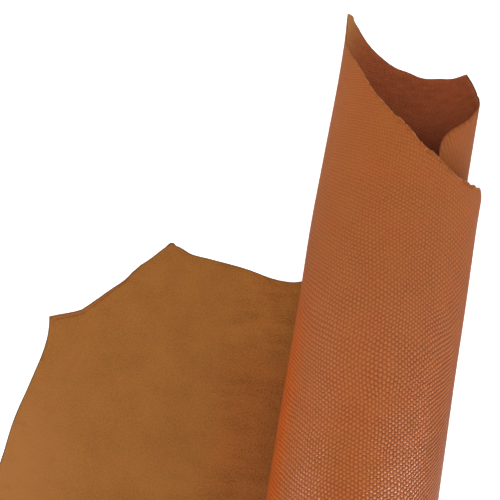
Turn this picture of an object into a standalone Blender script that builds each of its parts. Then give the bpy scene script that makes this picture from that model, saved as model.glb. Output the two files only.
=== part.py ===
# A small tanned skin, lying flesh side up with its right half rolled over into a loose roll.
# The skin is cut flat from its outline, then bent onto the roll's section and given its thickness.
# "Across" is measured along the leather from where the curl starts, positive into the roll.
# "Along" is measured down the roll's axis, positive away from the viewer. All sizes are in metres.

import math

import bmesh
import bpy
from mathutils import Vector

NAME = "hide"
THICKNESS = 0.0014

# Spacing of the cuts that let the flat leather bend
FLAT_STRIP = 0.022
ROLL_STRIP = 0.008
ROW = 0.024
WELD_DISTANCE = 0.0006

# The leather eases from flat into the roll over this length
LEAD_IN = 0.014
WALK_STEP = 0.0001

# The roll's axis is not quite straight: it swings sideways in one slow wave
BOW_SWING = 0.0019
BOW_HALF_WAVE = 0.42

# How far the leather has turned, in degrees, and the radius of its grain face there
ROLL_RADII = (
    (0, 0.0536),
    (90, 0.0530),
    (180, 0.0529),
    (270, 0.0523),
    (360, 0.0492),
    (450, 0.0403),
    (530, 0.0400),
)

# Places where the cut edge lifts off the layer below: across, along, reach and lift
LIFTED_SPOTS = (
    (0.110, 0.050, 0.016, 0.0006),
    (0.260, 0.164, 0.016, 0.0022),
)

# Slow waves in the roll's surface: wavelength across, wavelength along and height
SLOW_WAVES = (
    (0.150, 0.410, 0.0006),
    (0.093, 0.270, 0.0003),
)

# The skin's cut outline, laid flat, clockwise from its near left corner: across, along and handle
OUTLINE = (
    (-0.2330, -0.3160, "AUTO"),
    (-0.2400, -0.2800, "AUTO"),
    (-0.2350, -0.2350, "AUTO"),
    (-0.2230, -0.1694, "AUTO"),
    (-0.2199, -0.1420, "AUTO"),
    (-0.2136, -0.1138, "AUTO"),
    (-0.2087, -0.0880, "AUTO"),
    (-0.2098, -0.0692, "VECTOR"),
    (-0.1922, -0.0615, "AUTO"),
    (-0.1781, -0.0488, "AUTO"),
    (-0.1640, -0.0353, "AUTO"),
    (-0.1552, -0.0235, "AUTO"),
    (-0.1374, -0.0044, "VECTOR"),
    (-0.1238, -0.0092, "AUTO"),
    (-0.0878, -0.0130, "AUTO"),
    (-0.0539, -0.0175, "AUTO"),
    (-0.0420, -0.0145, "AUTO"),
    (0.0200, 0.0080, "AUTO"),
    (0.0970, 0.0435, "AUTO"),
    (0.1105, 0.0495, "VECTOR"),
    (0.1190, 0.0483, "AUTO"),
    (0.1350, 0.0482, "AUTO"),
    (0.1536, 0.0555, "AUTO"),
    (0.1785, 0.0730, "AUTO"),
    (0.2034, 0.0937, "AUTO"),
    (0.2250, 0.1175, "AUTO"),
    (0.2450, 0.1335, "AUTO"),
    (0.2565, 0.1570, "AUTO"),
    (0.2660, 0.1624, "AUTO"),
    (0.2790, 0.1612, "AUTO"),
    (0.3047, 0.1512, "AUTO"),
    (0.3360, 0.1423, "AUTO"),
    (0.3640, 0.1405, "AUTO"),
    (0.3770, 0.1433, "VECTOR"),
    (0.3940, 0.1250, "AUTO"),
    (0.4050, 0.1180, "AUTO"),
    (0.4307, 0.0960, "AUTO"),
    (0.4500, 0.0795, "AUTO"),
    (0.4533, 0.0730, "AUTO"),
    (0.4535, 0.0620, "VECTOR"),
    (0.4535, -0.3000, "VECTOR"),
    (0.4450, -0.3210, "AUTO"),
    (0.4250, -0.3280, "AUTO"),
    (0.3600, -0.3250, "AUTO"),
    (0.2700, -0.3330, "AUTO"),
    (0.1800, -0.3400, "AUTO"),
    (0.0900, -0.3340, "AUTO"),
    (0.0000, -0.3410, "AUTO"),
    (-0.0900, -0.3370, "AUTO"),
    (-0.1700, -0.3300, "AUTO"),
    (-0.2170, -0.3275, "AUTO"),
)
OUTLINE_STEPS = 3

# Tanned colours: the pebbled grain side, and the nap of the flesh side with its raw edge
GRAIN_COLOUR = (0.376, 0.098, 0.030, 1)
FLESH_COLOUR = (0.310, 0.120, 0.042, 1)
GRAIN_ROUGHNESS = 0.48
FLESH_ROUGHNESS = 0.92


def clear_scene():
    for old in list(bpy.data.objects):
        bpy.data.objects.remove(old)


def blend(table, value):
    """Reads a two-column table at a value, in straight lines between its rows."""
    if value <= table[0][0]:
        return table[0][1]
    for (low, first), (high, last) in zip(table, table[1:]):
        if value <= high:
            return first + (last - first) * (value - low) / (high - low)
    return table[-1][1]


def roll_path(length):
    """Walks the roll's section, and returns x, z and heading at each step across."""
    path = [(0.0, 0.0, 0.0)]
    x, z, heading = path[0]
    for step in range(math.ceil(length / WALK_STEP)):
        ease = min(step * WALK_STEP / LEAD_IN, 1)
        heading += ease * WALK_STEP / blend(ROLL_RADII, math.degrees(heading))
        x += math.cos(heading) * WALK_STEP
        z += math.sin(heading) * WALK_STEP
        path.append((x, z, heading))
    return path


def section_at(path, across):
    """The section's point and heading at a distance across: flat before the curl starts."""
    if across <= 0:
        return across, 0.0, 0.0
    whole, part = divmod(across / WALK_STEP, 1)
    step = min(int(whole), len(path) - 2)
    return tuple(a + (b - a) * part for a, b in zip(path[step], path[step + 1]))


def lift_at(across, along, heading):
    """How far the leather stands outward of the roll's plain section, pressed flat where it rests."""
    if across <= 0:
        return 0.0
    freedom = math.sin(heading / 2) ** 2
    lift = 0.0
    for wave_across, wave_along, height in SLOW_WAVES:
        phase = math.tau * (across / wave_across + along / wave_along)
        lift += freedom * height * math.sin(phase)
    for spot_across, spot_along, reach, height in LIFTED_SPOTS:
        distance = math.hypot(across - spot_across, along - spot_along)
        lift += height * math.exp(-((distance / reach) ** 2))
    return lift


def bent(path, across, along):
    """Where a point of the flat skin lies once the skin is rolled."""
    x, z, heading = section_at(path, across)
    lift = lift_at(across, along, heading)
    bow = BOW_SWING * (1 - math.cos(math.pi * along / BOW_HALF_WAVE))
    return Vector((x + lift * math.sin(heading) + bow, along, z - lift * math.cos(heading)))


def flat_skin():
    """The flat outline as one filled face."""
    curve = bpy.data.curves.new("cutting outline", "CURVE")
    curve.dimensions = "2D"
    curve.fill_mode = "BOTH"
    curve.resolution_u = OUTLINE_STEPS
    spline = curve.splines.new("BEZIER")
    spline.bezier_points.add(len(OUTLINE) - 1)
    spline.use_cyclic_u = True
    for point, (across, along, handle) in zip(spline.bezier_points, OUTLINE):
        point.co = (across, along, 0)
        point.handle_left_type = handle
        point.handle_right_type = handle
    cut = bpy.data.objects.new("cutting outline", curve)
    bpy.context.scene.collection.objects.link(cut)
    evaluated = cut.evaluated_get(bpy.context.evaluated_depsgraph_get())
    mesh = bpy.data.meshes.new_from_object(evaluated)
    bpy.data.objects.remove(cut)
    bpy.data.curves.remove(curve)
    return mesh


def stations(low, high, step):
    """The whole multiples of a step that lie between two limits."""
    first = math.ceil(low / step)
    last = math.floor(high / step)
    return [step * index for index in range(first, last + 1)]


def slice_skin(sheet):
    """Cuts the flat face into strips that can bend, and rows along the axis."""
    across = [row[0] for row in OUTLINE]
    along = [row[1] for row in OUTLINE]
    strips = stations(min(across), -FLAT_STRIP, FLAT_STRIP) + stations(0, max(across), ROLL_STRIP)
    rows = stations(min(along), max(along), ROW)
    cuts = [(Vector((place, 0, 0)), Vector((1, 0, 0))) for place in strips]
    cuts += [(Vector((0, place, 0)), Vector((0, 1, 0))) for place in rows]
    for place, normal in cuts:
        everything = sheet.verts[:] + sheet.edges[:] + sheet.faces[:]
        bmesh.ops.bisect_plane(sheet, geom=everything, plane_co=place, plane_no=normal)


def roll_skin(mesh):
    """Slices the flat skin, bends it onto the roll's section and turns its grain face outward."""
    sheet = bmesh.new()
    sheet.from_mesh(mesh)
    bmesh.ops.remove_doubles(sheet, verts=sheet.verts, dist=WELD_DISTANCE)
    bmesh.ops.dissolve_faces(sheet, faces=sheet.faces[:])
    slice_skin(sheet)
    bmesh.ops.remove_doubles(sheet, verts=sheet.verts, dist=WELD_DISTANCE)
    bmesh.ops.triangulate(sheet, faces=sheet.faces[:])
    path = roll_path(max(row[0] for row in OUTLINE))
    for vertex in sheet.verts:
        vertex.co = bent(path, vertex.co.x, vertex.co.y)
    bmesh.ops.recalc_face_normals(sheet, faces=sheet.faces[:])
    lowest = min(sheet.faces, key=lambda face: face.calc_center_median().z)
    if lowest.normal.z > 0:
        bmesh.ops.reverse_faces(sheet, faces=sheet.faces[:])
    sheet.to_mesh(mesh)
    sheet.free()


def stand_on_origin(mesh):
    """Puts the skin's box over the origin, with its lowest face at height zero."""
    low = [min(vertex.co[axis] for vertex in mesh.vertices) for axis in range(3)]
    high = [max(vertex.co[axis] for vertex in mesh.vertices) for axis in range(3)]
    middle = Vector(((low[0] + high[0]) / 2, (low[1] + high[1]) / 2, low[2]))
    for vertex in mesh.vertices:
        vertex.co -= middle


def leather(name, colour, roughness):
    material = bpy.data.materials.new(name)
    material.use_nodes = True
    shader = material.node_tree.nodes["Principled BSDF"]
    shader.inputs["Base Color"].default_value = colour
    shader.inputs["Roughness"].default_value = roughness
    shader.inputs["Metallic"].default_value = 0
    return material


def make_hide():
    collection = bpy.data.collections.new("leather hide")
    bpy.context.scene.collection.children.link(collection)
    mesh = flat_skin()
    mesh.name = NAME
    roll_skin(mesh)
    stand_on_origin(mesh)
    hide = bpy.data.objects.new(NAME, mesh)
    collection.objects.link(hide)
    mesh.materials.append(leather("grain side", GRAIN_COLOUR, GRAIN_ROUGHNESS))
    mesh.materials.append(leather("flesh side", FLESH_COLOUR, FLESH_ROUGHNESS))
    mesh.shade_smooth()
    thicken = hide.modifiers.new("leather thickness", "SOLIDIFY")
    thicken.thickness = THICKNESS
    thicken.offset = -1
    thicken.use_even_offset = True
    thicken.material_offset = 1
    thicken.material_offset_rim = 1
    return hide


clear_scene()
make_hide()
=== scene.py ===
# Leather hide: a small tanned skin lying flesh side up, its right part rolled over with the grain out
import math

import bmesh
import bpy
from mathutils import Matrix, Vector


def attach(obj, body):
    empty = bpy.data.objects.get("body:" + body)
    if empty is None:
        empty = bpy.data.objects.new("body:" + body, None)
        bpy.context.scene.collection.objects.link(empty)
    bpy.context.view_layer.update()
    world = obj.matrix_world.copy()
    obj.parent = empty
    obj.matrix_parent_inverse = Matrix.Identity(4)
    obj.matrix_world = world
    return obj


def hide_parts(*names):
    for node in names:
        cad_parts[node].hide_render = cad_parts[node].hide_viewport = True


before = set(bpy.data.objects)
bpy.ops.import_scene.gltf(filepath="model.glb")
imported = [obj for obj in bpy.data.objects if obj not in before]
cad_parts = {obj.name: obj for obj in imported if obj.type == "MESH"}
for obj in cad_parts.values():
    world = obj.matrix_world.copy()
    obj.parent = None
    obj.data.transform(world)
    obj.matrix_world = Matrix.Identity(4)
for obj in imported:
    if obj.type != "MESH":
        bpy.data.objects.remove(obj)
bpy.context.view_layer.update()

scene = bpy.context.scene
print("frame loaded, nodes:", sorted(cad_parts))


class Wire:
    # one output socket, so that sums on it read as plain Python
    def __init__(self, board, socket):
        self.board = board
        self.socket = socket

    def other(self, name):
        return Wire(self.board, self.socket.node.outputs[name])

    def __add__(self, term):
        return self.board.sums("ADD", self, term)

    def __radd__(self, term):
        return self.board.sums("ADD", term, self)

    def __sub__(self, term):
        return self.board.sums("SUBTRACT", self, term)

    def __rsub__(self, term):
        return self.board.sums("SUBTRACT", term, self)

    def __mul__(self, term):
        return self.board.sums("MULTIPLY", self, term)

    def __rmul__(self, term):
        return self.board.sums("MULTIPLY", term, self)

    def __truediv__(self, term):
        return self.board.sums("DIVIDE", self, term)

    def __neg__(self):
        return self.board.sums("MULTIPLY", self, -1.0)

    def __pow__(self, term):
        return self.board.sums("POWER", self, term)


class Board:
    # a node tree while it is being wired
    def __init__(self, tree):
        self.tree = tree

    def add(self, kind, settings=None, sockets=None, output=0):
        node = self.tree.nodes.new(kind)
        for name, value in (settings or {}).items():
            setattr(node, name, value)
        for name, value in (sockets or {}).items():
            if isinstance(value, Wire):
                self.tree.links.new(value.socket, node.inputs[name])
            else:
                node.inputs[name].default_value = value
        return Wire(self, node.outputs[output])

    def sums(self, operation, *terms):
        return self.add("ShaderNodeMath", {"operation": operation}, dict(enumerate(terms)))

    def vectors(self, operation, *terms):
        return self.add("ShaderNodeVectorMath", {"operation": operation}, dict(enumerate(terms)))

    def scaled(self, vector, factor):
        return self.add("ShaderNodeVectorMath", {"operation": "SCALE"}, {0: vector, "Scale": factor})

    def join(self, x, y, z):
        return self.add("ShaderNodeCombineXYZ", None, {0: x, 1: y, 2: z})

    def split(self, vector):
        first = self.add("ShaderNodeSeparateXYZ", None, {0: vector})
        return first, first.other("Y"), first.other("Z")

    def smooth(self, value, low, high, start=0.0, end=1.0):
        sockets = {0: value, 1: low, 2: high, 3: start, 4: end}
        return self.add("ShaderNodeMapRange", {"interpolation_type": "SMOOTHSTEP"}, sockets)

    def mixColour(self, mask, first, second):
        return self.add("ShaderNodeMix", {"data_type": "RGBA"}, {0: mask, 6: first, 7: second}, 2)

    def bell(self, first, second):
        # one in the middle, fading out both ways
        return self.sums("EXPONENT", -(first * first + second * second))

    def noise(self, place, scale, detail=2.0, roughness=0.5, output=0):
        sockets = {"Vector": place, "Scale": scale, "Detail": detail, "Roughness": roughness}
        return self.add("ShaderNodeTexNoise", None, sockets, output)


cameraSetup = {
    "target": (0.0033, 0.0891, 0.0),  # the point in the middle of the picture, on the table
    "turn": 9.98,  # degrees round from the front
    "height": 78.0,  # degrees above the table
    "distance": 1.0,
    "lens": 105.28,  # mm on the 36 mm sensor
}


def makeCamera(setup):
    turn = math.radians(setup["turn"])
    height = math.radians(setup["height"])
    right = Vector((math.cos(turn), math.sin(turn), 0))
    level = math.cos(height)
    back = Vector((math.sin(turn) * level, -math.cos(turn) * level, math.sin(height)))
    up = back.cross(right)
    data = bpy.data.cameras.new("camera")
    data.lens = setup["lens"]
    data.clip_start = 0.01
    camera = bpy.data.objects.new("camera", data)
    scene.collection.objects.link(camera)
    place = Matrix((right, up, back)).transposed().to_4x4()
    place.translation = Vector(setup["target"]) + back * setup["distance"]
    camera.matrix_world = place
    scene.camera = camera


makeCamera(cameraSetup)
print("camera placed")


studio = {
    "floorColour": (0.95, 0.95, 0.95, 1.0),
    "floorGlow": 0.42,  # the paper is lit from behind a little
    "floorSize": 14.0,
    "wallLight": 1.20,  # how bright the white room is near the horizon
    "ceilingLight": 0.20,  # and straight above
    "ceilingEdge": (0.25, 0.80),  # heights on the unit sky between which it dims
    "tableShare": 0.50,  # the share of the wall's light that the leather mirrors from below the horizon
    # middle, point it faces, width, height, power in watts, and whether it lights or only glints
    "panels": {
        "top panel": ((0.0, 0.1, 1.9), (0.0, 0.05, 0.0), 2.0, 2.0, 25.0, "light"),
        "right front panel": ((1.10, -0.75, 1.10), (0.0, 0.0, 0.0), 1.0, 1.0, 8.0, "light"),
        "right near panel": ((0.60, -0.64, 0.40), (0.14, -0.14, 0.05), 0.5, 0.5, 1.3, "light"),
        "left front panel": ((-0.90, -1.00, 1.10), (0.0, 0.0, 0.0), 1.0, 1.0, 4.6, "light"),
        "left far panel": ((-0.70, 0.80, 0.60), (0.03, 0.15, 0.08), 0.6, 0.6, 2.4, "light"),
        "upper right glint": ((0.44, -0.50, 0.56), (0.12, -0.13, 0.08), 0.36, 0.36, 44.0, "glint"),
        "lower right glint": ((0.66, -0.52, 0.14), (0.13, -0.14, 0.05), 0.70, 0.34, 46.0, "glint"),
        "left glint": ((-0.42, -0.48, 0.30), (0.06, -0.14, 0.08), 0.45, 0.34, 40.0, "glint"),
    },
}


def makeStudio(setup):
    bpy.ops.mesh.primitive_plane_add(size=setup["floorSize"], location=(0, 0, 0))
    floor = bpy.context.object
    floor.name = "floor"
    paper = bpy.data.materials.new("white paper floor")
    paper.use_nodes = True
    shader = paper.node_tree.nodes["Principled BSDF"]
    shader.inputs["Base Color"].default_value = setup["floorColour"]
    shader.inputs["Roughness"].default_value = 0.9
    shader.inputs["Specular IOR Level"].default_value = 0.1
    shader.inputs["Emission Color"].default_value = (1.0, 1.0, 1.0, 1.0)
    shader.inputs["Emission Strength"].default_value = setup["floorGlow"]
    floor.data.materials.append(paper)
    floor.visible_glossy = False  # the leather mirrors a dimmer table than this paper
    world = bpy.data.worlds.new("soft white room")
    world.use_nodes = True
    board = Board(world.node_tree)
    across, along, height = board.split(board.add("ShaderNodeTexCoord", None, None, "Generated"))
    low, high = setup["ceilingEdge"]
    light = board.smooth(height, low, high, setup["wallLight"], setup["ceilingLight"])
    light = light * board.smooth(height, -0.04, 0.02, setup["tableShare"], 1.0)
    background = world.node_tree.nodes["Background"]
    background.inputs["Color"].default_value = (1.0, 1.0, 1.0, 1.0)
    world.node_tree.links.new(light.socket, background.inputs["Strength"])
    scene.world = world
    for name, (place, facing, width, height, power, role) in setup["panels"].items():
        data = bpy.data.lights.new(name, "AREA")
        data.shape = "RECTANGLE"
        data.size = width
        data.size_y = height
        data.energy = power
        panel = bpy.data.objects.new(name, data)
        scene.collection.objects.link(panel)
        aim = (Vector(facing) - Vector(place)).to_track_quat("-Z", "Y")
        panel.matrix_world = Matrix.Translation(place) @ aim.to_matrix().to_4x4()
        panel.visible_camera = False
        panel.visible_glossy = role == "glint"
        panel.visible_diffuse = role == "light"
    scene.view_settings.view_transform = "Standard"
    scene.view_settings.look = "None"


makeStudio(studio)
print("floor and lights placed")


# Across runs along the leather from where the curl starts, along runs down the roll's axis, in metres
hide = {
    "curlStart": (0.0869, 0.0891, 0.0),  # where the flat pattern's zero lies on the table
    "thickness": 0.0014,
    "edgeThickness": 0.45,  # share of the thickness that is left at the cut edge
    "borderRings": (0.0004, 0.0010, 0.0016, 0.0025),  # widths of the rings inside the cut edge
    "strip": 0.0030,  # spacing of the cuts that let the leather bend
    "row": 0.0040,
    "flatStrip": 0.0050,
    "weld": 0.00025,
    "outlineSteps": 6,
    "leadIn": 0.014,  # the leather eases from flat into the curl over this length
    "walkStep": 0.0001,
    "flatReach": 0.26,  # the section starts this far before the curl
    "bowSwing": 0.0019,
    "bowHalfWave": 0.42,
    # degrees turned, radius of the grain face
    "radii": (
        (0, 0.0536),
        (90, 0.0530),
        (180, 0.0529),
        (270, 0.0523),
        (360, 0.0492),
        (450, 0.0403),
        (530, 0.0400),
    ),
    # wavelength across, wavelength along, height
    "slowWaves": (
        (0.150, 0.410, 0.0006),
        (0.093, 0.270, 0.0003),
    ),
    # soft ridges and troughs: across, along, reach across, reach along, height towards the grain
    "folds": (
        (0.110, 0.050, 0.016, 0.016, 0.0006),
        (0.260, 0.164, 0.016, 0.016, 0.0013),
        (0.252, 0.112, 0.040, 0.036, -0.0008),
        (0.250, 0.012, 0.035, 0.038, 0.0010),
        (0.086, -0.025, 0.030, 0.040, 0.0006),
        (0.086, -0.165, 0.030, 0.040, -0.0005),
    ),
    # the lip of the flat part's far left edge, which stands up a little, and where it fades in
    "lipHeight": 0.0011,
    "lipWidth": 0.0034,
    "lipAcross": (-0.095, -0.135),
    "lipAlong": (-0.085, -0.068),
    "ragged": 0.0022,  # how far the slanting edge wanders, from one tooth to the next
    "raggedScale": 520.0,
    "raggedWidth": 0.0012,
    "nickStretch": 1.8,  # how much further a nick reaches along than across
    # nicks in the cut edge: across, along, reach, how far the edge moves along
    "nicks": (
        (0.1135, 0.0490, 0.0013, 0.0007),
        (0.1170, 0.0485, 0.0008, -0.0006),
        (0.1225, 0.0482, 0.0010, 0.0006),
        (0.1262, 0.0480, 0.0009, -0.0009),
        (0.1300, 0.0482, 0.0012, 0.0005),
        (0.1600, 0.0590, 0.0016, 0.0007),
        (0.1700, 0.0650, 0.0013, -0.0006),
        (0.1840, 0.0765, 0.0018, 0.0007),
        (0.4020, 0.1195, 0.0010, 0.0007),
        (0.3965, 0.1240, 0.0010, -0.0007),
        (-0.1338, -0.0055, 0.0010, -0.0006),
        (-0.1600, -0.0300, 0.0016, 0.0005),
    ),
    # the flat outline: across, along, and V where it turns a corner
    "outline": (
        (-0.2330, -0.3160, ""),
        (-0.2400, -0.2800, ""),
        (-0.2350, -0.2350, ""),
        (-0.2230, -0.1694, ""),
        (-0.2199, -0.1420, ""),
        (-0.2136, -0.1138, ""),
        (-0.2087, -0.0880, ""),
        (-0.2086, -0.0760, ""),
        (-0.2096, -0.0690, "V"),
        (-0.2027, -0.0662, ""),
        (-0.1943, -0.0631, ""),
        (-0.1887, -0.0604, "V"),
        (-0.1811, -0.0528, ""),
        (-0.1730, -0.0444, ""),
        (-0.1640, -0.0353, ""),
        (-0.1552, -0.0235, ""),
        (-0.1505, -0.0190, ""),
        (-0.1410, -0.0084, ""),
        (-0.1370, -0.0045, ""),
        (-0.1324, -0.0062, ""),
        (-0.1270, -0.0082, ""),
        (-0.1230, -0.0098, ""),
        (-0.1104, -0.0110, ""),
        (-0.0878, -0.0130, ""),
        (-0.0539, -0.0175, ""),
        (-0.0420, -0.0145, ""),
        (0.0200, 0.0080, ""),
        (0.0970, 0.0435, ""),
        (0.1047, 0.0467, ""),
        (0.1105, 0.0493, "V"),
        (0.1150, 0.0487, ""),
        (0.1190, 0.0482, ""),
        (0.1240, 0.0480, ""),
        (0.1290, 0.0480, ""),
        (0.1347, 0.0481, ""),
        (0.1416, 0.0496, ""),
        (0.1503, 0.0535, ""),
        (0.1587, 0.0583, ""),
        (0.1653, 0.0610, ""),
        (0.1710, 0.0658, ""),
        (0.1785, 0.0727, ""),
        (0.1872, 0.0787, ""),
        (0.1944, 0.0853, ""),
        (0.2037, 0.0937, ""),
        (0.2145, 0.1054, ""),
        (0.2223, 0.1138, ""),
        (0.2310, 0.1213, ""),
        (0.2418, 0.1303, ""),
        (0.2475, 0.1345, ""),
        (0.2510, 0.1420, ""),
        (0.2535, 0.1500, ""),
        (0.2558, 0.1575, ""),
        (0.2600, 0.1606, ""),
        (0.2685, 0.1637, ""),
        (0.2742, 0.1643, ""),
        (0.2778, 0.1628, ""),
        (0.2853, 0.1605, ""),
        (0.2925, 0.1574, ""),
        (0.2997, 0.1541, ""),
        (0.3140, 0.1485, ""),
        (0.3240, 0.1450, ""),
        (0.3335, 0.1436, ""),
        (0.3444, 0.1409, ""),
        (0.3560, 0.1413, ""),
        (0.3669, 0.1412, ""),
        (0.3730, 0.1423, ""),
        (0.3781, 0.1431, "V"),
        (0.3841, 0.1370, ""),
        (0.3943, 0.1262, ""),
        (0.4006, 0.1205, ""),
        (0.4072, 0.1150, ""),
        (0.4235, 0.1033, ""),
        (0.4310, 0.0961, ""),
        (0.4418, 0.0874, ""),
        (0.4496, 0.0802, ""),
        (0.4526, 0.0755, ""),
        (0.4538, 0.0700, ""),
        (0.4535, 0.0620, "V"),
        (0.4535, -0.3000, "V"),
        (0.4450, -0.3210, ""),
        (0.4250, -0.3280, ""),
        (0.3600, -0.3250, ""),
        (0.2700, -0.3330, ""),
        (0.1800, -0.3400, ""),
        (0.0900, -0.3340, ""),
        (0.0000, -0.3410, ""),
        (-0.0900, -0.3370, ""),
        (-0.1700, -0.3300, ""),
        (-0.2170, -0.3275, ""),
    ),
}


def blendTable(table, value):
    if value <= table[0][0]:
        return table[0][1]
    for (low, first), (high, last) in zip(table, table[1:]):
        if value <= high:
            return first + (last - first) * (value - low) / (high - low)
    return table[-1][1]


def sectionCurve(setup):
    # the roll's section as a curve that is straight before the curl, so that a length along it is a place
    longest = max(row[0] for row in setup["outline"])
    step = setup["walkStep"]
    points = [(-setup["flatReach"], 0.0, 0.0), (0.0, 0.0, 0.0)]
    x, z, heading = 0.0, 0.0, 0.0
    for count in range(math.ceil(longest / step) + 10):
        ease = min(count * step / setup["leadIn"], 1)
        heading += ease * step / blendTable(setup["radii"], math.degrees(heading))
        x += math.cos(heading) * step
        z += math.sin(heading) * step
        if count % 10 == 9:
            points.append((x, 0.0, z))
    curve = bpy.data.curves.new("roll section", "CURVE")
    curve.dimensions = "3D"
    spline = curve.splines.new("POLY")
    spline.points.add(len(points) - 1)
    for point, place in zip(spline.points, points):
        point.co = (*place, 1)
    section = bpy.data.objects.new("roll section", curve)
    scene.collection.objects.link(section)
    return section


def cutOutline(setup):
    # the flat pattern as one face
    curve = bpy.data.curves.new("cut outline", "CURVE")
    curve.dimensions = "2D"
    curve.fill_mode = "BOTH"
    curve.resolution_u = setup["outlineSteps"]
    spline = curve.splines.new("BEZIER")
    spline.bezier_points.add(len(setup["outline"]) - 1)
    spline.use_cyclic_u = True
    for point, (across, along, corner) in zip(spline.bezier_points, setup["outline"]):
        point.co = (across, along, 0)
        point.handle_left_type = "VECTOR" if corner else "AUTO"
        point.handle_right_type = point.handle_left_type
    cut = bpy.data.objects.new("cut outline", curve)
    scene.collection.objects.link(cut)
    mesh = bpy.data.meshes.new_from_object(cut.evaluated_get(bpy.context.evaluated_depsgraph_get()))
    bpy.data.objects.remove(cut)
    bpy.data.curves.remove(curve)
    return mesh


def cutPlaces(low, high, step):
    return [step * count for count in range(math.ceil(low / step), math.floor(high / step) + 1)]


def slantingEdge(board, across):
    # one where the cut edge slants over the roll, from the flat part to the tip
    return board.smooth(across, 0.100, 0.112) * board.smooth(across, 0.256, 0.248)


def flatSkin(setup):
    # the pattern with rings inside its cut edge, sliced so that it can bend
    mesh = cutOutline(setup)
    sheet = bmesh.new()
    sheet.from_mesh(mesh)
    bmesh.ops.remove_doubles(sheet, verts=sheet.verts, dist=setup["weld"])
    bmesh.ops.dissolve_faces(sheet, faces=sheet.faces[:])
    bmesh.ops.recalc_face_normals(sheet, faces=sheet.faces[:])
    inner = sheet.faces[:]
    for width in setup["borderRings"]:
        bmesh.ops.inset_region(sheet, faces=inner, thickness=width, use_even_offset=True)
        inner = [max(sheet.faces, key=lambda face: face.calc_area())]
    across = [row[0] for row in setup["outline"]]
    along = [row[1] for row in setup["outline"]]
    strips = cutPlaces(min(across), -setup["flatStrip"], setup["flatStrip"])
    strips += cutPlaces(0, max(across), setup["strip"])
    rows = cutPlaces(min(along), max(along), setup["row"])
    cuts = [(Vector((place, 0, 0)), Vector((1, 0, 0))) for place in strips]
    cuts += [(Vector((0, place, 0)), Vector((0, 1, 0))) for place in rows]
    for place, normal in cuts:
        everything = sheet.verts[:] + sheet.edges[:] + sheet.faces[:]
        bmesh.ops.bisect_plane(sheet, geom=everything, plane_co=place, plane_no=normal)
    bmesh.ops.remove_doubles(sheet, verts=sheet.verts, dist=setup["weld"] / 2)
    bmesh.ops.triangulate(sheet, faces=[face for face in sheet.faces if len(face.verts) > 4])
    for face in sheet.faces:
        if face.normal.z > 0:
            face.normal_flip()  # the grain side faces the table
    # the flat places stay with the leather as a UV map
    pattern = sheet.loops.layers.uv.new("flat pattern")
    for face in sheet.faces:
        face.smooth = True
        for loop in face.loops:
            loop[pattern].uv = loop.vert.co.xy
    sheet.to_mesh(mesh)
    sheet.free()
    return mesh


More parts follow.
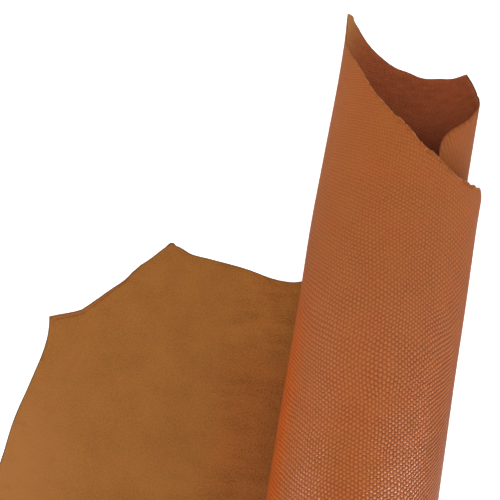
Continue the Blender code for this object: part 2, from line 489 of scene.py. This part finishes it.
def rollTree(setup, section, grain):
    # bends the flat skin onto the section, with the folds, the bow and the lip
    tree = bpy.data.node_groups.new("roll up the skin", "GeometryNodeTree")
    tree.interface.new_socket("Geometry", in_out="OUTPUT", socket_type="NodeSocketGeometry")
    tree.interface.new_socket("Geometry", in_out="INPUT", socket_type="NodeSocketGeometry")
    inputs = (
        ("Section", "NodeSocketObject"),
        ("Flat Reach", "NodeSocketFloat"),
        ("Bow Swing", "NodeSocketFloat"),
        ("Bow Half Wave", "NodeSocketFloat"),
        ("Lip Height", "NodeSocketFloat"),
        ("Lip Width", "NodeSocketFloat"),
        ("Grain", "NodeSocketMaterial"),
    )
    for name, kind in inputs:
        tree.interface.new_socket(name, in_out="INPUT", socket_type=kind)
    board = Board(tree)
    skin = board.add("NodeGroupInput")
    given = {name: skin.other(name) for name, kind in inputs}
    # how far each point is from the cut edge
    border = board.add(
        "FunctionNodeCompare",
        {"data_type": "INT", "operation": "EQUAL"},
        {2: board.add("GeometryNodeInputMeshEdgeNeighbors"), 3: 1},
    )
    rim = board.add("GeometryNodeMeshToCurve", None, {0: skin, 1: border})
    rim = board.add("GeometryNodeCurveToMesh", None, {0: rim})
    toEdge = board.add("GeometryNodeProximity", {"target_element": "EDGES"}, {0: rim}, "Distance")
    marked = board.add(
        "GeometryNodeStoreNamedAttribute",
        {"data_type": "FLOAT", "domain": "POINT"},
        {0: skin, "Name": "from edge", "Value": toEdge},
    )
    across, along, level = board.split(board.add("GeometryNodeInputPosition"))
    # small nicks and burrs left by the knife
    for nickAcross, nickAlong, reach, shift in setup["nicks"]:
        sideways = (across - nickAcross) / reach
        onward = (along - nickAlong) / (reach * setup["nickStretch"])
        along = board.bell(sideways, onward) * shift + along
    # the slanting edge is a little ragged all along
    flatPlace = board.add("GeometryNodeInputPosition")
    jag = board.noise(flatPlace, setup["raggedScale"], 2.0, 0.6) - 0.5
    wander = board.smooth(toEdge, setup["raggedWidth"], 0.0, 0.0, setup["ragged"])
    along = along + jag * slantingEdge(board, across) * wander
    path = board.add("GeometryNodeObjectInfo", None, {0: given["Section"]}, "Geometry")
    sample = board.add(
        "GeometryNodeSampleCurve",
        {"mode": "LENGTH"},
        {0: path, 3: across + given["Flat Reach"]},
        "Position",
    )
    sectionX, sectionY, sectionZ = board.split(sample)
    tangentX, tangentY, tangentZ = board.split(sample.other("Tangent"))
    freedom = (1 - tangentX) * 0.5
    lift = 0.0
    for waveAcross, waveAlong, height in setup["slowWaves"]:
        phase = across * (math.tau / waveAcross) + along * (math.tau / waveAlong)
        lift = board.sums("SINE", phase) * freedom * height + lift
    for foldAcross, foldAlong, reachAcross, reachAlong, height in setup["folds"]:
        sideways = (across - foldAcross) / reachAcross
        onward = (along - foldAlong) / reachAlong
        lift = board.bell(sideways, onward) * height + lift
    # the lip only stands up along the far left edge of the flat part
    lipPlace = board.smooth(across, *setup["lipAcross"]) * board.smooth(along, *setup["lipAlong"])
    nearEdge = toEdge / given["Lip Width"]
    lift = lift - board.sums("EXPONENT", -(nearEdge * nearEdge)) * lipPlace * given["Lip Height"]
    bow = given["Bow Swing"] * (1 - board.sums("COSINE", along * math.pi / given["Bow Half Wave"]))
    place = board.join(sectionX + tangentZ * lift + bow, along, sectionZ - tangentX * lift)
    place = board.vectors("ADD", place, setup["curlStart"])
    moved = board.add("GeometryNodeSetPosition", None, {0: marked, "Position": place})
    real = board.add("GeometryNodeRealizeInstances", None, {0: moved})
    real = board.add("GeometryNodeSetMaterial", None, {0: real, "Material": given["Grain"]})
    end = tree.nodes.new("NodeGroupOutput")
    tree.links.new(real.socket, end.inputs[0])
    return tree


def makeHide(setup, grain, flesh, rawEdge):
    mesh = flatSkin(setup)
    for material in (grain, flesh, rawEdge):
        mesh.materials.append(material)
    skin = bpy.data.objects.new("flat skin", mesh)
    scene.collection.objects.link(skin)
    thick = skin.vertex_groups.new(name="thickness")
    section = sectionCurve(setup)
    tree = rollTree(setup, section, grain)
    roll = skin.modifiers.new("roll up", "NODES")
    roll.node_group = tree
    values = {
        "Section": section,
        "Flat Reach": setup["flatReach"],
        "Bow Swing": setup["bowSwing"],
        "Bow Half Wave": setup["bowHalfWave"],
        "Lip Height": setup["lipHeight"],
        "Lip Width": setup["lipWidth"],
        "Grain": grain,
    }
    for item in tree.interface.items_tree:
        if item.in_out == "INPUT" and item.name in values:
            roll[item.identifier] = values[item.name]
    # the leather thins where the knife has pressed it
    for index, share in edgeShares(mesh, setup).items():
        thick.add([index], share, "REPLACE")
    thicken = skin.modifiers.new("leather thickness", "SOLIDIFY")
    thicken.thickness = setup["thickness"]
    thicken.offset = -1
    thicken.use_even_offset = True
    thicken.vertex_group = "thickness"
    thicken.material_offset = 1
    thicken.material_offset_rim = 2
    evaluated = skin.evaluated_get(bpy.context.evaluated_depsgraph_get())
    made = bpy.data.meshes.new_from_object(evaluated)
    made.name = "leather"
    bpy.data.objects.remove(skin)
    bpy.data.objects.remove(section)
    leather = bpy.data.objects.new("leather", made)
    scene.collection.objects.link(leather)
    print("hide made:", len(made.polygons), "faces")
    return leather


def edgeShares(mesh, setup):
    # the share of full thickness at each point: thinner on the cut edge itself
    borderPoints = set()
    seen = {}
    for polygon in mesh.polygons:
        for key in polygon.edge_keys:
            seen[key] = seen.get(key, 0) + 1
    for key, count in seen.items():
        if count == 1:
            borderPoints.update(key)
    return {
        vertex.index: setup["edgeThickness"] if vertex.index in borderPoints else 1.0
        for vertex in mesh.vertices
    }


rawColour = (0.085, 0.034, 0.013, 1.0)  # the darkened cut through the leather
cutColour = (0.190, 0.056, 0.018, 1.0)  # a cleaner cut
fibreColour = (0.260, 0.080, 0.026, 1.0)  # the paler fibres in it


def newMaterial(name):
    material = bpy.data.materials.new(name)
    material.use_nodes = True
    board = Board(material.node_tree)
    shader = material.node_tree.nodes["Principled BSDF"]
    place = board.add("ShaderNodeUVMap", {"uv_map": "flat pattern"})
    fromEdge = board.add("ShaderNodeAttribute", {"attribute_name": "from edge"}, None, "Fac")
    return material, board, shader, place, fromEdge


def feed(board, shader, name, wire):
    board.tree.links.new(wire.socket, shader.inputs[name])


def centred(board, place, scale, detail, reach):
    # noise that pushes a place about, up to a reach each way
    cloud = board.noise(place, scale, detail, 0.5, "Color")
    return board.scaled(board.vectors("SUBTRACT", cloud, (0.5, 0.5, 0.5)), reach * 2)


emboss = {
    # rows to the metre and the way across them, in degrees from across, for two sets of rows
    "rows": ((465.0, -7.0), (440.0, 45.5)),
    "closer": (0.12, -0.02, 2.8),  # the rows draw closer beyond this place across and along, and how fast
    "tighter": 0.16,  # and by this share along the roll's near right side
    "drift": ((16.0, 0.0050), (60.0, 0.0010), (260.0, 0.0004)),  # noise scale and reach: the rows wander
}


def embossRings(board, place, pattern):
    # three sets of crossing rows: 3 on a pebble's top and -1.5 between the pebbles
    flatAcross, flatAlong, level = board.split(place)
    warped = place
    for scale, reach in pattern["drift"]:
        warped = board.vectors("ADD", warped, centred(board, place, scale, 1.0, reach))
    across, along, level = board.split(warped)
    startAcross, startAlong, growth = pattern["closer"]
    beyondAcross = board.sums("MAXIMUM", flatAcross - startAcross, 0.0)
    beyondAlong = board.sums("MAXIMUM", flatAlong - startAlong, 0.0)
    across = across + beyondAcross * beyondAcross * growth * board.smooth(flatAlong, -0.02, 0.16)
    along = along + beyondAlong * beyondAlong * growth * board.smooth(flatAcross, 0.12, 0.24)
    nearHalf = board.smooth(flatAlong, 0.02, -0.08)
    right = board.smooth(flatAcross, 0.160, 0.110) * nearHalf
    left = board.smooth(flatAcross, 0.190, 0.235) * nearHalf
    along = along + (flatAlong + 0.13) * right * pattern["tighter"]
    phases = []
    for rows, degrees in pattern["rows"]:
        turn = math.radians(degrees)
        phases.append((across * math.cos(turn) + along * math.sin(turn)) * (rows * math.tau))
    phases.append(phases[1] - phases[0])
    # one set of rows stands out at the near right, and another at the near left
    first = board.sums("COSINE", phases[0]) * (1 - right * 0.4 - left * 0.15)
    second = board.sums("COSINE", phases[1]) * (1 + right * 0.7 - left * 0.25)
    third = board.sums("COSINE", phases[2]) * (1 - right * 0.3 + left * 0.40)
    return first + second + third


grainLook = {
    # far and near colours: lighter and bluer towards the near end, a painted sheen
    "far": (0.298, 0.081, 0.0140, 1.0),
    "near": (0.350, 0.095, 0.0215, 1.0),
    "paintedShoulderSheen": (0.392, 0.131, 0.054, 1.0),  # painted sheen, paler on both shoulders of the near end
    # the pebble valleys' colour, partly their own tone and partly painted shade
    "valley": (0.150, 0.034, 0.007, 1.0),
    "olive": (0.292, 0.089, 0.015, 1.0),
    "red": (0.325, 0.075, 0.016, 1.0),
    "paintedBounce": (0.490, 0.084, 0.010, 1.0),  # painted orange light bounced from the flat part, where the roll meets it
    "frayed": (0.400, 0.170, 0.075, 1.0),  # pale fibres on the slanting cut edge
    "patchScale": 60.0,
    "pebbleDepth": 0.00036,
    "specular": 0.060,
    "roughness": (0.30, 0.60),  # at the near end and at the far end
}


def grainMaterial(look, pattern):
    material, board, shader, place, fromEdge = newMaterial("pebbled grain")
    across, along, level = board.split(place)
    rings = embossRings(board, place, pattern)
    pebble = board.sums("MAXIMUM", (rings + 1.5) / 4.5, 0.0) ** 0.85
    # the emboss is pressed harder towards the near end, and in patches
    near = board.smooth(along, 0.08, -0.12)
    toRight = board.smooth(across, 0.185, 0.125, -0.16, 0.26) * near + 1.0
    uneven = board.smooth(board.noise(place, 55.0, 2.0), 0.30, 0.66, 0.82, 1.0)
    pressed = (near * 0.42 + 0.58) * uneven * toRight
    # painted bounce light from the flat part on the roll's side just above it
    paintedBounceMask = board.smooth(across, 0.222, 0.240) * board.smooth(across, 0.275, 0.252)
    paintedBounceMask = paintedBounceMask * board.smooth(along, -0.01, -0.09) * 0.75
    # painted sheen on both shoulders of the near end
    paintedShoulderSheen = board.smooth(across, 0.170, 0.148) + board.smooth(across, 0.195, 0.212, 0.0, 0.25)
    paintedShoulderSheen = paintedShoulderSheen * board.smooth(along, -0.085, -0.165)
    speckle = board.noise(place, 700.0, 2.0, 0.7)
    patch = board.noise(place, look["patchScale"], 3.0, 0.6)
    # painted sheen: the colour turns lighter and bluer towards the near end
    colour = board.mixColour(board.smooth(along, 0.00, -0.11), look["far"], look["near"])
    colour = board.mixColour(paintedShoulderSheen, colour, look["paintedShoulderSheen"])
    colour = board.mixColour(board.smooth(patch, 0.50, 0.68, 0.0, 0.4), colour, look["olive"])
    colour = board.mixColour(board.smooth(patch, 0.50, 0.34, 0.0, 0.4), colour, look["red"])
    colour = board.mixColour(paintedBounceMask, colour, look["paintedBounce"])
    # the pebble valleys darken, partly their own tone and partly painted shade
    grooveAndShade = board.smooth(rings, 1.0, -1.4) * pressed * 0.85 + (speckle - 0.5) * 1.1
    # painted shade on the inner turn, where the outer one covers it
    grooveAndShade = grooveAndShade + board.smooth(across, 0.400, 0.415) * board.smooth(along, 0.085, 0.050, 0.06, 0.32)
    colour = board.mixColour(board.sums("MAXIMUM", grooveAndShade, 0.0), colour, look["valley"])
    colour = board.mixColour(board.smooth(fromEdge, 0.0006, 0.0002, 0.0, 0.6), colour, cutColour)
    strands = board.smooth(board.noise(place, 420.0, 3.0, 0.7), 0.38, 0.62)
    fray = board.smooth(fromEdge, 0.0011, 0.0004) * strands * slantingEdge(board, across)
    colour = board.mixColour(fray * 0.6, colour, look["frayed"])
    feed(board, shader, "Base Color", colour)
    nearRoughness, farRoughness = look["roughness"]
    feed(board, shader, "Roughness", board.smooth(along, -0.01, -0.155, farRoughness, nearRoughness))
    shader.inputs["Specular IOR Level"].default_value = look["specular"]
    pores = board.noise(place, 2600.0, 2.0, 0.6)
    swell = board.noise(place, 70.0, 2.0, 0.5)
    height = pebble * pressed + pores * 0.06 + swell * 0.35
    relief = {"Strength": 1.0, "Distance": look["pebbleDepth"], "Height": height}
    feed(board, shader, "Normal", board.add("ShaderNodeBump", None, relief))
    return material


fleshLook = {
    "nap": (0.285, 0.110, 0.0232, 1.0),
    "napDark": (0.134, 0.045, 0.009, 1.0),
    "napPale": (0.302, 0.122, 0.033, 1.0),
    "napRed": (0.264, 0.086, 0.022, 1.0),
    "paintedRollShade": (0.234, 0.069, 0.0155, 1.0),  # painted shade: redder and darker beside the roll
    "paintedRollReflection": (0.450, 0.152, 0.035, 1.0),  # painted reddish light reflected from the roll, fuller where the roll shades the flat part
    "inside": (0.262, 0.053, 0.021, 1.0),  # painted shade and reddish bounce light: the flesh side is darker and redder inside the roll
    "tip": (0.370, 0.165, 0.048, 1.0),  # paler at its tip
    "paintedDeepShade": (0.085, 0.018, 0.013, 1.0),  # and painted shade, darkest down between the turns
    # painted shade line in the fold of the lip
    "paintedCreaseShade": (0.150, 0.046, 0.009, 1.0),
    "fibre": 900.0,
    "cloud": 40.0,
    "napDepth": 0.00022,
    "specular": 0.02,
    "roughness": 0.95,
}


def fleshMaterial(look, pattern):
    material, board, shader, place, fromEdge = newMaterial("flesh nap")
    across, along, level = board.split(place)
    fine = board.noise(place, look["fibre"], 3.0, 0.75)
    cloud = board.noise(place, look["cloud"], 6.0, 0.74)
    # the nap is blotchy beside the roll
    blotch = board.noise(board.join(across * 0.5, along * 1.9, 0.0), 68.0, 4.0, 0.65)
    blotch = (blotch - 0.5) * board.smooth(across, -0.11, -0.06) * board.smooth(across, 0.06, 0.0)
    # painted shade beside the roll: redder and darker, with more fine contrast
    beside = board.smooth(across, -0.100, -0.064) * board.smooth(along, -0.050, -0.095, 0.05, 1.0)
    beside = beside * board.smooth(across, 0.03, 0.0)
    tone = board.smooth(cloud, 0.30, 0.70, 0.54, 0.86) + (fine - 0.5) * (beside * 1.6 + 2.3) + blotch * 1.2
    # painted shade: darker towards the roll
    tone = tone - board.smooth(across, -0.11, -0.065, 0.0, 0.07)
    colour = board.mixColour(beside, look["nap"], look["paintedRollShade"])
    # painted reddish reflection from the roll on the flat part right beside it
    against = board.smooth(across, -0.110, -0.055) * board.smooth(across, 0.03, 0.0)
    colour = board.mixColour(against * 0.38, colour, look["paintedRollReflection"])
    colour = board.mixColour(board.smooth(tone, -0.4, 1.2), look["napDark"], colour)
    paleCorner = board.smooth(across, -0.155, -0.215) * board.smooth(along, -0.08, -0.17)
    colour = board.mixColour(paleCorner * 0.7, colour, look["napPale"])
    redness = board.noise(place, look["cloud"] * 2.2, 3.0, 0.6)
    colour = board.mixColour(board.smooth(redness, 0.50, 0.75, 0.0, 0.6), colour, look["napRed"])
    # a redder band runs along the lip at the far left, with a painted dark shade line in the fold of the
    # lip inside it
    lip = board.smooth(across, -0.150, -0.165) * board.smooth(along, -0.08, -0.07)
    creaseAt = board.smooth(across, -0.155, -0.195, 0.0013, 0.0031)
    band = board.smooth(fromEdge, 0.0042, 0.0020, 0.0, 0.4)
    colour = board.mixColour(lip * band, colour, look["napRed"])
    paintedCreaseShade = (fromEdge - creaseAt) / 0.00055
    broken = board.smooth(board.noise(place, 210.0), 0.35, 0.62, 0.22, 0.85)
    broken = broken * board.smooth(across, -0.2085, -0.2040)
    paintedCreaseShade = board.sums("EXPONENT", -(paintedCreaseShade * paintedCreaseShade)) * lip * broken
    colour = board.mixColour(paintedCreaseShade, colour, look["paintedCreaseShade"])
    # painted shade and reddish bounce light inside the roll
    inner = board.smooth(across, 0.10, 0.24)
    colour = board.mixColour(inner, colour, look["inside"])
    tip = board.bell((across - 0.258) / 0.026, (along - 0.166) / 0.034)
    colour = board.mixColour(tip, colour, look["tip"])
    # the emboss shows through inside the roll, where the nap is mottled
    mottle = (board.noise(board.join(across * 0.5, along, 0.0), 230.0, 4.0, 0.7) - 0.5) * 1.3
    through = (embossRings(board, place, pattern) - 0.4) * 0.32 + (fine - 0.5) * 1.7 + mottle
    through = through * inner * (1 - tip * 0.7)
    colour = board.mixColour(board.sums("MAXIMUM", through, 0.0) * 0.6, colour, look["tip"])
    colour = board.mixColour(board.sums("MAXIMUM", -through, 0.0), colour, rawColour)
    # painted shade down between the turns
    paintedDeepShade = board.smooth(across, 0.315, 0.350) * board.smooth(along, 0.118, 0.078, 0.0, 0.82)
    colour = board.mixColour(paintedDeepShade, colour, look["paintedDeepShade"])
    # the cut edge is dark on the flat part, less so at its far left corner, and along the far wall
    corner = 1 - board.bell((across + 0.2096) / 0.0035, (along + 0.0690) / 0.0035) * 0.8
    darkRim = board.smooth(across, 0.02, 0.0) * corner + board.smooth(across, 0.262, 0.272)
    colour = board.mixColour(board.smooth(fromEdge, 0.0009, 0.0002) * darkRim, colour, rawColour)
    feed(board, shader, "Base Color", colour)
    shader.inputs["Roughness"].default_value = look["roughness"]
    shader.inputs["Specular IOR Level"].default_value = look["specular"]
    relief = {"Strength": 0.6, "Distance": look["napDepth"], "Height": fine}
    feed(board, shader, "Normal", board.add("ShaderNodeBump", None, relief))
    return material


def edgeMaterial():
    material, board, shader, place, fromEdge = newMaterial("raw cut edge")
    across, along, level = board.split(place)
    # darkened on the flat part and along the far wall, and nearly as pale as the nap on the slanting cut
    farWall = board.smooth(across, 0.262, 0.272) * board.smooth(across, 0.42, 0.40)
    darkened = board.smooth(across, 0.02, 0.0) + farWall
    fibres = board.noise(place, 900.0, 3.0, 0.7)
    colour = board.mixColour(board.smooth(fibres, 0.3, 0.7), cutColour, fibreColour)
    colour = board.mixColour(darkened, colour, rawColour)
    feed(board, shader, "Base Color", colour)
    shader.inputs["Roughness"].default_value = 0.95
    shader.inputs["Specular IOR Level"].default_value = 0.05
    return material


leather = makeHide(hide, grainMaterial(grainLook, emboss), fleshMaterial(fleshLook, emboss), edgeMaterial())
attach(leather, "root")
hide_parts("hide")
print("materials and frame ties made")
